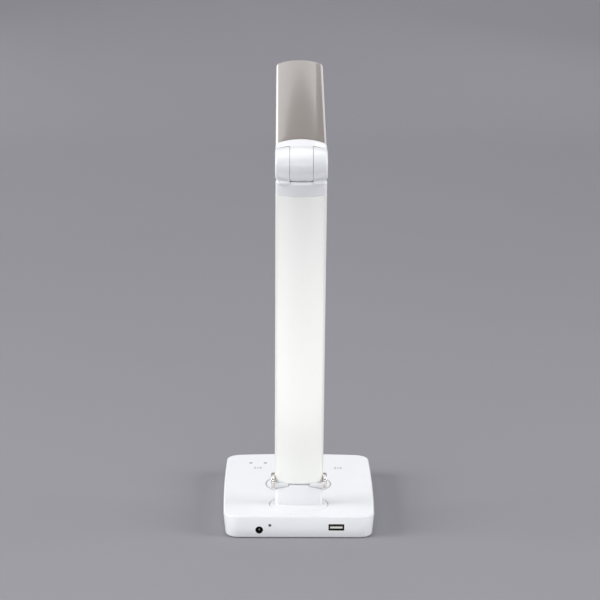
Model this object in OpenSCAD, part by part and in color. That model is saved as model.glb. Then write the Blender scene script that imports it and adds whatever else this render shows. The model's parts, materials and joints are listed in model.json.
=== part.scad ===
// Folding desk lamp on a weighted base, with a USB outlet and a DC inlet in the
// base's rear face. Units are millimetres. The origin is on the desk, under the
// middle of the base; +Y is the way the head reaches and +Z is up. The lamp is
// drawn as it stands in use: the arm leans back and the head is nearly level.

/* [Base] */
// Greatest width of the base, at the middle of its bowed sides
base_w = 132; // [120:1:150]
// Length of the base from the rear face to the middle of the front edge
base_l = 190; // [180:1:210]
// Height of the base's top face above the desk
base_h = 19.7; // [18:0.1:22]
// Corner radius of the base seen from above
base_corner_r = 14; // [10:1:18]
// How far the front edge bows out
front_bow = 3; // [1:0.5:5]
// How far each side bows out
side_bow = 1; // [0.5:0.25:2]
// Thickness of the base shell's walls
base_wall = 2.4; // [2:0.1:3]
// Thickness of the rubber sheet under the base
pad_t = 0.6; // [0.4:0.1:1.5]
// Radius of the ring let into the top face
ring_r = 28.6; // [20:0.2:30]

/* [Sockets] */
// Sideways place of the DC inlet
jack_x = -34; // [-40:0.5:-32]
// Height of the DC inlet's axis
jack_z = 7.2; // [6.1:0.1:8]
// Radius of the DC inlet's centre pin
jack_pin_r = 1.05; // [0.6:0.05:1.25]
// Sideways place of the USB outlet
usb_x = 32; // [32:0.5:36]
// Height of the middle of the USB outlet
usb_z = 9.7; // [9:0.1:11]

/* [Stem] */
// Distance of the swivel axis behind the middle of the base
swivel_back = 60; // [58:1:62]
// Height of the lower hinge's axis above the desk
hinge_z = 41; // [39:0.1:45]
// Radius of the round turntable in the base's top face
table_r = 25.1; // [24:0.1:25.4]

/* [Arm] */
// Width of the arm
arm_w = 41.7; // [40:0.1:42]
// Thickness of the arm at its middle
arm_t = 13.2; // [12:0.2:14]
// Distance between the two hinge axes along the arm
arm_len = 311.6; // [300:0.1:340]
// Lean of the arm back from the vertical, in degrees
arm_lean = 20; // [10:1:28]
// Wall of the arm's sleeve
sleeve_wall = 1.2; // [1:0.1:1.5]

/* [Head] */
// Width of the head
head_w = 42.2; // [40:0.2:42.4]
// Distance from the upper hinge axis to the head's tip
head_len = 262; // [240:1:280]
// Radius of the upper hinge's crowned barrel at its middle
barrel_r = 15; // [14.6:0.1:15.4]
// Height of the head's crown above the upper hinge axis
head_top = 13; // [12.5:0.1:13.5]
// Tilt of the head above the horizontal, in degrees
head_tilt = 7.6; // [0:0.1:30]

/* [Hidden] */
$fn = 96;

// gaps
run_gap = 0.05;        // radial, a shaft turning in its hole
fixed_gap = 0.02;      // radial, a shaft held in its hole
open_gap = 0.35;       // between curved faces that pass each other

// base, derived
swivel_y = -swivel_back;
rear_y = -base_l / 2;
floor_z = pad_t;
side_draft = 2;        // how far the sides lean in from top to bottom
edge_r = 1.5;          // rounding of the side walls' lower edge
top_r = 2;             // rounding of the upper edge
rear_share = 0.3;      // the rear face leans in by this share of what the sides do
cavity_top = base_h - base_wall;
cover_t = 2;
cover_top = floor_z + cover_t;
low_inset = 7.4;       // from the outline to the cavity beside the bottom cover
high_inset = 4.4;      // from the outline to the cavity above it
rear_wall_in = 3;      // from the rear face to the cavity
boss_x = 52;
boss_y = [78, -80];
boss_r = 3.6;
ring_half = 0.6;       // half the width of the ring's groove
ring_depth = 0.4;

// sockets, derived
inlet_nose_r = 3.25;
inlet_well_r = 2.75;
socket_depth = 6;      // of the openings in the rear wall
lens_x = jack_x + 9.1;
lens_z = jack_z + 4.2;
lens_r = 1.25;
usb_half_w = 6.6;
usb_half_h = 2.8;
usb_skin = 0.5;
tongue_low = usb_z - 1.2;
tongue_high = usb_z + 0.4;
board_t = 1.6;

// swivel, derived
well_r = table_r + 0.4;
well_floor_z = base_h - 8.2;
well_floor_t = 2.2;
well_wall = 2.2;
spindle_r = 8;
bush_r = 9.95;
table_t = 3.6;
table_z = base_h - table_t;
spindle_low = well_floor_z - 4;
washer_t = 0.8;
nut_t = 2.8;
stop_path_r = 20;
stop_r = 1.5;
stop_swing = 49.6;     // half the stop slot's sweep: the swivel's range and the pin's half width

// stem and lower hinge, derived
stem_w = 41;
side_r = 4;            // rounding of the arm's and the stem's long sides
ear_r = 6.7;
knuckle_r = 5;
knuckle_x = 8.5;
ear_x = 9.1;
seat_r = ear_r + open_gap;
neck_top = hinge_z - 2.4;
lower_pin_r = 3;
cap_r = 7.1;
cap_t = 3.1;

// arm, derived
sleeve_low = 1.3;
sleeve_high = 289.9;
plug_gap = 0.05;
fold_offset = barrel_r - arm_t / 2;   // upper axis in front of the arm's middle plane
collar_top = sleeve_high + 12.3;
spine_w = 24;
spine_t = 3;
spine_low = 9.2;
spine_high = 286.8;
low_plug_top = 28;     // reach of the lower end's plug into the sleeve
high_plug_low = sleeve_high - 24;
arm_screw_x = 7;
arm_screw_s = [20, 275];
web_w = 8.8;

// upper hinge and head, derived
ear_out = 21.25;
ear_round = 2.4;        // rounding of the barrel's outer edges
root_x = 9.3;
slot_x = 9.6;
barrel_crown_r = 75;   // radius of the barrel's lengthwise bulge
upper_pin_r = 4;
upper_pin_x = 19.5;    // half the pin's length
pin_cap_r = 8;
pin_cap_t = 1.4;
head_low = -0.4;
root_len = 26;
tongue_len = 18;
cover_wall = 1.4;
frame_top = 1;
head_corner_r = 4;
head_corner_h = 6.2;
tip_corner_r = 6;
head_screw_x = 10;
head_screw_y = root_len + 10;
window_x = 16;
window_from = 46;
window_to = 250;
led_pitch = 6;
led_count = 33;

// ---------- helpers ----------

module block(low, high) {
    translate(low) cube(high - low);
}

// a cylinder along X from x0 to x1
module bar_x(r, x0, x1) {
    translate([x0, 0, 0]) rotate([0, 90, 0]) cylinder(r = r, h = x1 - x0);
}

// a cylinder along Y from y0 to y1
module bar_y(r, y0, y1) {
    translate([0, y0, 0]) rotate([-90, 0, 0]) cylinder(r = r, h = y1 - y0);
}

module both_sides() {
    children();
    mirror([1, 0, 0]) children();
}

// the arm's frame: origin on the lower hinge axis, +Z along the arm
module on_arm() {
    translate([0, swivel_y, hinge_z]) rotate([arm_lean, 0, 0]) children();
}

// the head's frame: origin on the upper hinge axis, +Y towards the tip
module on_head() {
    on_arm() translate([0, fold_offset, arm_len]) rotate([head_tilt - arm_lean, 0, 0]) children();
}

// points of an arc about a centre
function arc(centre, r, from, to, steps) = [
    for (i = [0:steps])
        let (a = from + (to - from) * i / steps)
        centre + r * [cos(a), sin(a)]
];

// points between two ends, bowed out along a direction
function bowed(p, q, out, steps) =
    [for (i = [1:steps - 1]) let (t = i / steps) p + (q - p) * t + out * 4 * t * (1 - t)];

// outline of the base, drawn in from its sides and its rear face
function base_outline(inset, rear_inset) =
    let (
        r = max(base_corner_r - inset, 5),
        half = base_w / 2 - side_bow - inset,
        front = base_l / 2 - front_bow - inset,
        rear = -base_l / 2 + rear_inset,
        side_slope = atan(4 * side_bow / (front - rear)),
        front_slope = atan(2 * front_bow / half),
        right = concat(
            arc([half - r, rear + r], r, -90, -side_slope, 8),
            bowed([half, rear + r], [half, front - r], [side_bow, 0], 10),
            arc([half - r, front - r], r, side_slope, 90 - front_slope, 8)
        ),
        tip = bowed([half - r, front], [r - half, front], [0, front_bow], 12)
    )
    concat(right, tip, [for (i = [len(right) - 1:-1:0]) [-right[i][0], right[i][1]]]);

module base_slab(z0, z1, inset, rear_inset) {
    translate([0, 0, z0]) linear_extrude(z1 - z0) polygon(base_outline(inset, rear_inset));
}

// the side wall's inset at a height: rounded below, leaning out, rounded above
function side_inset(z) =
    let (
        lean = side_draft * (base_h - z) / (base_h - floor_z),
        low = z < floor_z + edge_r ? edge_r - sqrt(pow(edge_r, 2) - pow(floor_z + edge_r - z, 2)) : 0,
        high = z > base_h - top_r ? top_r - sqrt(pow(top_r, 2) - pow(z - base_h + top_r, 2)) : 0
    )
    lean + low + high;

// the arm's and the stem's section: two crowned faces and round sides
module oval_section(w, t, r) {
    side_x = w / 2 - r;
    crown_r = (pow(side_x, 2) + pow(t / 2, 2) - pow(r, 2)) / (t - 2 * r);
    drop = crown_r - t / 2;
    meet = atan2(drop, side_x);   // where a side's arc meets a crown's
    polygon(concat(
        arc([side_x, 0], r, -meet, meet, 14),
        arc([0, -drop], crown_r, meet, 180 - meet, 16),
        arc([-side_x, 0], r, 180 - meet, 180 + meet, 14),
        arc([0, drop], crown_r, 180 + meet, 360 - meet, 16)
    ));
}

module arm_prism(s0, s1, inset = 0) {
    translate([0, 0, s0]) linear_extrude(s1 - s0)
        oval_section(arm_w - 2 * inset, arm_t - 2 * inset, side_r - inset);
}

// the head's section, with X across and Y up from the upper hinge axis
module head_section(inset = 0) {
    r = head_corner_r - inset;
    corner_x = head_w / 2 - head_corner_r;
    rise = head_top - head_corner_h;
    crown_r = (pow(corner_x, 2) + pow(rise, 2) - pow(head_corner_r, 2)) / (2 * (rise - head_corner_r));
    meet = atan2(crown_r - rise, corner_x);
    polygon(concat(
        [[corner_x + r, head_low]],
        arc([corner_x, head_corner_h], r, 0, meet, 10),
        arc([0, head_top - crown_r], crown_r - inset, meet, 180 - meet, 20),
        arc([-corner_x, head_corner_h], r, 180 - meet, 180, 10),
        [[-corner_x - r, head_low]]
    ));
}

module head_prism(y0, y1, inset = 0) {
    translate([0, y1, 0]) rotate([90, 0, 0]) linear_extrude(y1 - y0) head_section(inset);
}

// ---------- base ----------

module base_outer() {
    low_levels = [for (a = [0, 30, 60, 90]) floor_z + edge_r * (1 - cos(a))];
    high_levels = [for (a = [0, 30, 60, 90]) base_h - top_r * (1 - sin(a))];
    thin = 0.01;
    hull() for (z = concat(low_levels, high_levels)) {
        z0 = min(z, base_h - thin);
        base_slab(z0, z0 + thin, side_inset(z), rear_share * side_inset(z));
    }
}

module base_top_shell() color("white") difference() {
    union() {
        difference() {
            base_outer();
            base_slab(floor_z - 1, cover_top + 0.6, low_inset, rear_wall_in);
            base_slab(cover_top + 0.5, cavity_top, high_inset, rear_wall_in);
        }
        // screw bosses
        both_sides() for (y = boss_y)
            translate([boss_x, y, cover_top + 0.1]) cylinder(r = boss_r, h = cavity_top - cover_top);
        // well that holds the turntable
        translate([0, swivel_y, well_floor_z])
            cylinder(r = well_r + well_wall, h = base_h - well_floor_z - 0.5);
    }
    both_sides() for (y = boss_y)
        translate([boss_x, y, cover_top - 1]) cylinder(r = 1.3, h = 9);
    translate([0, swivel_y, well_floor_z + well_floor_t]) cylinder(r = well_r, h = base_h);
    translate([0, swivel_y, 0]) cylinder(r = bush_r + fixed_gap, h = base_h);
    // arc slot for the stop pin
    translate([0, swivel_y, well_floor_z - 1]) rotate([0, 0, 90 - stop_swing])
        rotate_extrude(angle = 2 * stop_swing) translate([stop_path_r - stop_r - 0.3, 0])
            square([2 * stop_r + 0.6, well_floor_t + 2]);
    // groove of the ring
    translate([0, 0, base_h - ring_depth]) ring_band(ring_half, 1);
    // openings in the rear face
    translate([jack_x, rear_y, jack_z]) bar_y(inlet_nose_r + 0.05, -1, socket_depth);
    translate([lens_x, rear_y, lens_z]) bar_y(lens_r + 0.05, -1, socket_depth);
    translate([usb_x, rear_y, usb_z]) usb_bar(-0.15, -1, socket_depth);
}

// a flat band along the ring's circle
module ring_band(half, h) difference() {
    cylinder(r = ring_r + half, h = h);
    translate([0, 0, -1]) cylinder(r = ring_r - half, h = h + 2);
}

module base_bottom_cover() color("white") difference() {
    base_slab(floor_z, cover_top, low_inset + 0.2, rear_wall_in + 0.2);
    both_sides() for (y = boss_y) translate([boss_x, y, 0]) {
        cylinder(r = 1.7, h = 5);
        cylinder(r = 3.1, h = floor_z + 1.1);
    }
}

module anti_slip_pad() color("dimgray")
    base_slab(0, pad_t, low_inset + 2, rear_wall_in + 3);

module ballast_plate() color("slategray") difference() {
    block([-44, -28, cover_top], [44, 84, cover_top + 6]);
    both_sides() translate([44, 84, 0]) rotate([0, 0, 45]) cube([14, 14, 40], center = true);
}

module base_screws() color("silver") both_sides() for (y = boss_y) translate([boss_x, y, floor_z + 0.1]) {
    cylinder(r = 2.8, h = 0.9);
    cylinder(r = 1.25, h = 9);
}

module touch_board() color("seagreen") difference() {
    block([-50, 34, cavity_top - 1.8 - board_t], [50, 74, cavity_top - 1.8]);
    both_sides() for (y = [38, 70]) translate([46, y, 0]) cylinder(r = 1.6, h = base_h);
}

module touch_springs() color("gold") for (x = [-36, 0, 36])
    translate([x, 54, cavity_top - 1.8]) difference() {
        cylinder(r = 5, h = 1.8);
        translate([0, 0, -1]) cylinder(r = 4, h = 4);
    }

module touch_ring() color("gray")
    translate([0, 0, base_h - ring_depth]) ring_band(ring_half - 0.02, ring_depth);

// the board lies close under the outlet, with one tall component
module power_board() color("seagreen") translate([usb_x, 0, usb_z - usb_half_h - 0.05]) {
    block([-10, rear_y + 4, -board_t], [14, -56, 0]);
    block([-4, -72, -0.1], [6, -62, 4.8]);
}

module dc_jack_body() color("black") translate([jack_x, rear_y, jack_z]) difference() {
    union() {
        bar_y(inlet_nose_r, 0.7, 5);
        block([-4.5, 3.1, cover_top + 0.05 - jack_z], [4.5, 15, 4.6]);
    }
    bar_y(inlet_well_r, 0, 12);
}

module dc_jack_pin() color("silver") translate([jack_x, rear_y, jack_z]) {
    bar_y(jack_pin_r, 1.4, 12);
}

// a bar with the outlet's section, drawn in by an inset
module usb_bar(inset, y0, y1) {
    x = usb_half_w - inset;
    z = usb_half_h - inset;
    block([-x, y0, -z], [x, y1, z]);
}

module usb_shell() color("silver") translate([usb_x, rear_y, usb_z]) difference() {
    usb_bar(0, 0.8, 15);
    usb_bar(usb_skin, 0, 14);
}

module usb_tongue() color("white")
    block([usb_x - 5.4, rear_y + 1, tongue_low], [usb_x + 5.4, rear_y + 14, tongue_high]);

module usb_contacts() color("gold") for (i = [-1.5:1:1.5])
    translate([usb_x + 2.4 * i, rear_y, tongue_high]) block([-0.6, 2.6, 0], [0.6, 13, 0.25]);

module indicator_lens() color("gray")
    translate([lens_x, rear_y, lens_z]) bar_y(lens_r, 0.5, socket_depth);

module swivel_bush() color("ivory") translate([0, swivel_y, 0]) difference() {
    union() {
        translate([0, 0, well_floor_z]) cylinder(r = bush_r, h = well_floor_t + 0.4);
        translate([0, 0, well_floor_z + well_floor_t]) cylinder(r = 15, h = 0.8);
    }
    cylinder(r = spindle_r + run_gap, h = base_h);
}

// ---------- turntable and stem ----------

module stem_prism() {
    translate([0, swivel_y, base_h - 1]) linear_extrude(neck_top - base_h + 1)
        oval_section(stem_w, arm_t, side_r);
}

module stem_housing() color("white") difference() {
    union() {
        translate([0, swivel_y, table_z]) cylinder(r = table_r, h = table_t);
        // shoulders with the seats of the arm's ears
        difference() {
            stem_prism();
            translate([0, swivel_y, hinge_z]) {
                bar_x(seat_r, -30, 30);
                block([-30, 1, -seat_r - 0.1], [30, 10, 10]);
            }
        }
        // neck and knuckle between the ears
        intersection() {
            stem_prism();
            block([-knuckle_x, swivel_y - 10, base_h], [knuckle_x, swivel_y + 10, hinge_z]);
        }
        translate([0, swivel_y, hinge_z]) {
            bar_x(knuckle_r, -knuckle_x + 0.01, knuckle_x - 0.01);
            block([0.02 - knuckle_x, 0.3 - knuckle_r, -8], [knuckle_x - 0.02, knuckle_r - 0.3, -0.5]);
        }
    }
    translate([0, swivel_y, hinge_z]) bar_x(lower_pin_r + run_gap, -30, 30);
    // pocket of the steel bracket
    translate([0, swivel_y, table_z - 1]) cylinder(r = 10.3, h = 2.8);
    block([-7.1, swivel_y - 3.6, table_z + 0.5], [7.1, swivel_y + 3.6, hinge_z - 5.6]);
}

module stem_bracket() color("slategray") translate([0, swivel_y, 0]) difference() {
    union() {
        translate([0, 0, table_z]) cylinder(r = 10, h = 1.6);
        block([-7, -3.5, table_z], [7, 3.5, hinge_z - 5.7]);
    }
    cylinder(r = 2.4, h = hinge_z);
}

module swivel_spindle() color("silver") translate([0, swivel_y, 0]) difference() {
    union() {
        translate([0, 0, table_z - 1.5]) cylinder(r = 18, h = 1.5);
        translate([0, 0, spindle_low]) cylinder(r = spindle_r, h = table_z - spindle_low - 0.5);
    }
    cylinder(r = 5, h = base_h + 1);
}

module wave_washer() color("silver") translate([0, swivel_y, well_floor_z - 1]) difference() {
    cylinder(r = 12.5, h = washer_t);
    translate([0, 0, -1]) cylinder(r = spindle_r + fixed_gap, h = 3);
}

module swivel_nut() color("silver") translate([0, swivel_y, well_floor_z - 1 - nut_t]) difference() {
    rotate([0, 0, 30]) cylinder(r = 13, h = nut_t, $fn = 6);
    translate([0, 0, -1]) cylinder(r = spindle_r + fixed_gap, h = 5);
}

module stop_pin() color("silver") translate([0, swivel_y + stop_path_r, 0]) {
    translate([0, 0, well_floor_z + 0.4]) cylinder(r = stop_r, h = table_z - well_floor_z - 0.4);
}

// ---------- arm ----------

module arm_sleeve() color("beige") on_arm() difference() {
    arm_prism(sleeve_low, sleeve_high);
    arm_prism(sleeve_low - 1, sleeve_high + 1, sleeve_wall);
    block([-ear_x - 0.1, 0, 0], [ear_x + 0.1, 10, 8.4]);
    // notches round the hinge pin, under the pivot caps
    bar_x(lower_pin_r + 0.3, -30, 30);
}

module arm_lower_end() color("white") on_arm() difference() {
    union() {
        difference() {
            both_sides() bar_x(ear_r, ear_x, arm_w / 2);
            block([-30, -10, sleeve_low - 0.05], [30, 10, 10]);
        }
        arm_prism(sleeve_low - 0.5, low_plug_top, sleeve_wall + plug_gap);
    }
    bar_x(lower_pin_r + fixed_gap, -30, 30);
    // room for the stem's knuckle and neck
    bar_x(knuckle_r + 0.4, -ear_x, ear_x);
    intersection() {
        bar_x(7.5, -ear_x, ear_x);
        union() {
            block([-ear_x, 0, -10], [ear_x, 10, 10]);
            block([-ear_x, -10, -10], [ear_x, 1, 0]);
        }
    }
    block([-ear_x, 0, -1], [ear_x, 10, 7.4]);
    spine_pocket(spine_low - 0.2, low_plug_top + 2);
    ribbon_way(8, low_plug_top + 2);
    both_sides() translate([arm_screw_x, 0, arm_screw_s[0]]) bar_y(1.55, -10, 2);
}

// pocket of the spine in the arm's ends
module spine_pocket(s0, s1) {
    block([-spine_w / 2 - 0.05, -spine_t / 2 - 0.05, s0], [spine_w / 2 + 0.05, spine_t / 2 + 0.05, s1]);
}

// way of the ribbon cable through the arm's ends
module ribbon_way(s0, s1) {
    block([-8, 2.4, s0], [8, 3.6, s1]);
}

// half the crowned barrel's outline, from x0 to x1 and grown by a gap
function barrel_outline(x0, x1, grow) = concat(
    [[0, x0]],
    [for (i = [0:10]) let (x = x0 + (x1 - x0) * i / 10)
        [barrel_r + grow - barrel_crown_r + sqrt(pow(barrel_crown_r, 2) - pow(x, 2)), x]],
    [[0, x1]]
);

// the crowned barrel's stretch from x0 to x1, about the X axis
module crowned_barrel(x0, x1, grow = 0) {
    rotate([0, 90, 0]) rotate_extrude() polygon(barrel_outline(x0, x1, grow));
}

// an ear's outline: the barrel's bulge, then the rounding of its outer edge
function ear_outline() =
    let (
        bulge = barrel_outline(slot_x, ear_out - ear_round, 0),
        end_r = bulge[len(bulge) - 2][0]
    )
    concat(
        [for (i = [0:len(bulge) - 2]) bulge[i]],
        arc([end_r - ear_round, ear_out - ear_round], ear_round, 15, 90, 5),
        [[0, ear_out]]
    );

module ear_barrel() difference() {
    rotate([0, 90, 0]) rotate_extrude() polygon(ear_outline());
    // recess of the flush cap
    bar_x(pin_cap_r + 0.1, ear_out - pin_cap_t - 0.2, ear_out + 1);
}

module arm_upper_end() color("white") on_arm() difference() {
    union() {
        arm_prism(sleeve_high, collar_top);
        arm_prism(high_plug_low, sleeve_high + 0.5, sleeve_wall + plug_gap);
        translate([0, fold_offset, arm_len]) both_sides() ear_barrel();
        // webs from the collar up to the ears
        both_sides() translate([slot_x, 0, 0]) rotate([90, 0, 90]) linear_extrude(web_w)
            polygon([
                [-5.8, collar_top - 2], [-5.8, collar_top], [-4.6, collar_top + 0.5],
                [-3.7, collar_top + 1.6], [-3.4, collar_top + 3], [0, arm_len - 4],
                [fold_offset, arm_len - 6], [fold_offset - 1, collar_top - 1], [5, collar_top - 3]
            ]);
    }
    translate([0, fold_offset, arm_len]) {
        bar_x(upper_pin_r + fixed_gap, -upper_pin_x - 0.1, upper_pin_x + 0.1);
        crowned_barrel(-slot_x, slot_x, open_gap);
    }
    spine_pocket(high_plug_low - 6, spine_high + 0.2);
    ribbon_way(high_plug_low - 6, arm_len - 1.6);
    both_sides() translate([arm_screw_x, 0, arm_screw_s[1]]) bar_y(1.55, -10, 2);
}

module arm_spine() color("slategray") on_arm() difference() {
    block([-spine_w / 2, -spine_t / 2, spine_low], [spine_w / 2, spine_t / 2, spine_high]);
    both_sides() for (s = arm_screw_s) translate([arm_screw_x, 0, s]) bar_y(1.3, -5, 5);
}

module arm_ribbon_cable() color("gray") on_arm() block([-6, 2.5, 12], [6, 3.3, 288]);

module arm_screws() color("silver") on_arm()
    both_sides() for (s = arm_screw_s) translate([arm_screw_x, 0, s]) {
        bar_y(1.5, -4.5, -1.6);
        bar_y(1.25, -1.6, 1.4);
    }

module lower_hinge_pin() color("silver") on_arm() difference() {
    bar_x(lower_pin_r, -arm_w / 2 + 0.05, arm_w / 2 - 0.05);
    bar_x(1.6, -30, 30);
}

module lower_hinge_washers() color("ivory") on_arm() both_sides() difference() {
    bar_x(4.8, knuckle_x + 0.06, ear_x - 0.04);
    bar_x(lower_pin_r + fixed_gap, 0, 30);
}

module pivot_cap() {
    rim = 0.9;
    translate([arm_w / 2 + 0.02, 0, 0]) rotate([0, 90, 0]) rotate_extrude() union() {
        square([cap_r - rim, cap_t]);
        square([cap_r, cap_t - rim]);
        translate([cap_r - rim, cap_t - rim]) circle(r = rim);
    }
}

module pivot_cap_right() color("lightgray") on_arm() pivot_cap();

module pivot_cap_left() color("lightgray") on_arm() mirror([1, 0, 0]) pivot_cap();

module upper_hinge_pin() color("silver") on_arm() translate([0, fold_offset, arm_len]) difference() {
    bar_x(upper_pin_r, -upper_pin_x, upper_pin_x);
    bar_x(2.4, -30, 30);
}

module upper_hinge_washers() color("ivory") on_arm() translate([0, fold_offset, arm_len])
    both_sides() difference() {
        bar_x(9, root_x + 0.05, slot_x - 0.05);
        bar_x(upper_pin_r + fixed_gap, 0, 30);
    }

module upper_pin_caps() color("white") on_arm() translate([0, fold_offset, arm_len])
    both_sides() bar_x(pin_cap_r, ear_out - pin_cap_t - 0.1, ear_out - 0.1);

// ---------- head ----------

module head_root() color("white") on_head() difference() {
    union() {
        crowned_barrel(-root_x, root_x);
        difference() {
            union() {
                head_prism(2, root_len);
                // the top slopes from the barrel's crown to the cover
                hull() {
                    head_prism(root_len - 0.5, root_len - 0.02);
                    translate([0, 0, barrel_r - head_top - 0.1]) intersection() {
                        head_prism(2, 2.5);
                        block([-30, 0, head_top / 2], [30, 10, head_top + 1]);
                    }
                    head_prism(2, 2.5, 0.02);
                }
            }
            crowned_barrel(root_x, 30, open_gap);
            crowned_barrel(-30, -root_x, open_gap);
        }
        block([-15, root_len - 1, head_top - 5.6], [15, root_len + tongue_len, head_top - 3.8]);
    }
    bar_x(upper_pin_r + run_gap, -root_x - 1, root_x + 1);
    both_sides() translate([head_screw_x, head_screw_y, 0]) cylinder(r = 1.25, h = 20);
    // channel of the leads
    block([-4, 6, 1.6], [4, root_len + 1, 5.6]);
}

// what is cut off the head's two corners at the tip
module tip_corners() {
    r = tip_corner_r;
    both_sides() translate([head_w / 2 - r, head_len - r, -2]) difference() {
        cube([r + 1, r + 1, head_top + 3]);
        translate([0, 0, -1]) cylinder(r = r, h = head_top + 5);
    }
}

module head_top_cover() color("silver") on_head() difference() {
    head_prism(root_len + 0.05, head_len);
    head_prism(root_len - 1, head_len - 5, cover_wall);
    block([-30, 0, -5], [30, head_len + 1, frame_top + 0.05]);
    tip_corners();
}

module head_frame() color("white") on_head() difference() {
    union() {
        block([-head_w / 2, root_len + 0.05, head_low], [head_w / 2, head_len, frame_top]);
        difference() {
            block([-19.4, root_len + 0.1, frame_top], [19.4, head_len - 6, frame_top + 0.5]);
            block([-19, root_len + 2, -5], [19, head_len - 7, 10]);
        }
    }
    block([-window_x, window_from, -5], [window_x, window_to, frame_top + 1]);
    tip_corners();
}

module diffuser() color("whitesmoke") on_head() {
    block(
        [-window_x + 0.1, window_from + 0.1, head_low + 0.2],
        [window_x - 0.1, window_to - 0.1, frame_top + 0.05]
    );
    block([-17.4, window_from - 2, frame_top + 0.02], [17.4, window_to + 2, frame_top + 0.9]);
}

module light_guide() color("azure") on_head()
    block([-17, window_from - 1, frame_top + 0.95], [17, window_to + 1, frame_top + 3.4]);

module reflector_sheet() color("white") on_head()
    block([-17, window_from - 1, frame_top + 3.45], [17, window_to + 1, frame_top + 3.8]);

module led_board() color("seagreen") on_head()
    block([-19.2, window_from, frame_top + 0.95], [-18.3, window_to, frame_top + 3.9]);

module led_chips() color("khaki") on_head() for (i = [0:led_count - 1])
    block(
        [-18.3, window_from + 2 + led_pitch * i, frame_top + 1.3],
        [-17.4, window_from + 5 + led_pitch * i, frame_top + 3.1]
    );

module heat_spreader() color("silver") on_head() difference() {
    block([-18, root_len + 5, head_top - 6.7], [18, 254, head_top - 5.65]);
    both_sides() translate([head_screw_x, head_screw_y, 0]) cylinder(r = 1.25, h = 20);
}

module head_screws() color("silver") on_head() both_sides() translate([head_screw_x, head_screw_y, 0]) {
    translate([0, 0, head_top - 3.75]) cylinder(r = 2.4, h = 0.8);
    translate([0, 0, head_top - 6.7]) cylinder(r = 1.2, h = 3.2);
}

base_top_shell();
base_bottom_cover();
anti_slip_pad();
ballast_plate();
base_screws();
touch_board();
touch_springs();
touch_ring();
power_board();
dc_jack_body();
dc_jack_pin();
usb_shell();
usb_tongue();
usb_contacts();
indicator_lens();
swivel_bush();
stem_housing();
stem_bracket();
swivel_spindle();
wave_washer();
swivel_nut();
stop_pin();
arm_sleeve();
arm_lower_end();
arm_upper_end();
arm_spine();
arm_ribbon_cable();
arm_screws();
lower_hinge_pin();
lower_hinge_washers();
pivot_cap_left();
pivot_cap_right();
upper_hinge_pin();
upper_hinge_washers();
upper_pin_caps();
head_root();
head_top_cover();
head_frame();
diffuser();
light_guide();
reflector_sheet();
led_board();
led_chips();
heat_spreader();
head_screws();
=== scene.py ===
"""Folding LED desk lamp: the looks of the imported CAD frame. Metres; +Z up, sockets on the -Y side."""

import json
from math import asin, atan2, cos, degrees, pi, radians, sin, sqrt

import bmesh
import bpy
from mathutils import Matrix, Vector

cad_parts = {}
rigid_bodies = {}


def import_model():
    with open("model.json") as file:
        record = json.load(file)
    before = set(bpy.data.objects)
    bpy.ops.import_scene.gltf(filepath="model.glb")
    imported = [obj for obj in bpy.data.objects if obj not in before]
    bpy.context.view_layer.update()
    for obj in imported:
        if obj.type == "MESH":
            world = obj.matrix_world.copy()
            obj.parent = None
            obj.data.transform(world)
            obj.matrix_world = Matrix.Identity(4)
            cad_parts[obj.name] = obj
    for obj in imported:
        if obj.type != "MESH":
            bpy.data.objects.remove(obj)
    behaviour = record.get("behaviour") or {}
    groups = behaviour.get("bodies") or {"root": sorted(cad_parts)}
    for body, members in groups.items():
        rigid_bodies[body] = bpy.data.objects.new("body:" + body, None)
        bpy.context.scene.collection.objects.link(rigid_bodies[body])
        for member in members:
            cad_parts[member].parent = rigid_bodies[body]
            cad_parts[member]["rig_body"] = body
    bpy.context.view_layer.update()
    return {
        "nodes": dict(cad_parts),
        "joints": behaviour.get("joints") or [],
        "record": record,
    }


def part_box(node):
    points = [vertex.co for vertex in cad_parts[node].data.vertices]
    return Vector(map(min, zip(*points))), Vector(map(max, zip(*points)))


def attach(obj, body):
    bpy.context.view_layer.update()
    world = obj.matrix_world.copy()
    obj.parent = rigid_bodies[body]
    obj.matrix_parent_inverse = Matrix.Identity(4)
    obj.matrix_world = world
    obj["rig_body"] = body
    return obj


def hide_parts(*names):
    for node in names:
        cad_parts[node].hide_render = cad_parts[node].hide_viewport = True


MM = 0.001
IN_PLACE = Matrix.Identity(4)
# stands a mesh made about X up about Z
UPRIGHT = Matrix.Rotation(-pi / 2, 4, "Y")

# points closer than this become one
MERGE = 0.001 * MM
CAD_MERGE = 0.002 * MM
SMOOTH_BELOW = radians(32)
BEVEL_ABOVE = radians(38)

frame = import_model()
joints = {j["name"]: j for j in frame["joints"]}
SLOT_OF = {part["node"]: part["material_slot"] for part in frame["record"]["subparts"]}

# ---------- driving sizes ----------

BASE_W = 132 * MM
BASE_L = 190 * MM
BASE_CORNER = 14 * MM
INNER_CORNER = 5 * MM
# the base's sides and front stay this far inside the CAD's outline
SKIN_INSET = 0.01 * MM
SIDE_BOW = 1 * MM
FRONT_BOW = 3 * MM
SIDE_DRAFT = 2 * MM
LOW_EDGE = 1.5 * MM
TOP_EDGE = 2 * MM
REAR_SHARE = 0.3
BASE_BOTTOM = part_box("base_top_shell")[0].z
BASE_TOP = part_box("base_top_shell")[1].z
BASE_REAR = -BASE_L / 2
LOW_INSET = 7.4 * MM
HIGH_INSET = 4.4 * MM
REAR_WALL = 3 * MM
ROOF = 2.4 * MM
BOTTOM_COVER_T = 2 * MM
INLET_R = 3.3 * MM
LENS_HOLE_R = 1.3 * MM
USB_OPENING = (13.5 * MM, 5.9 * MM, 0.7 * MM)
SCREW_HEAD_R = 2.8 * MM

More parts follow.
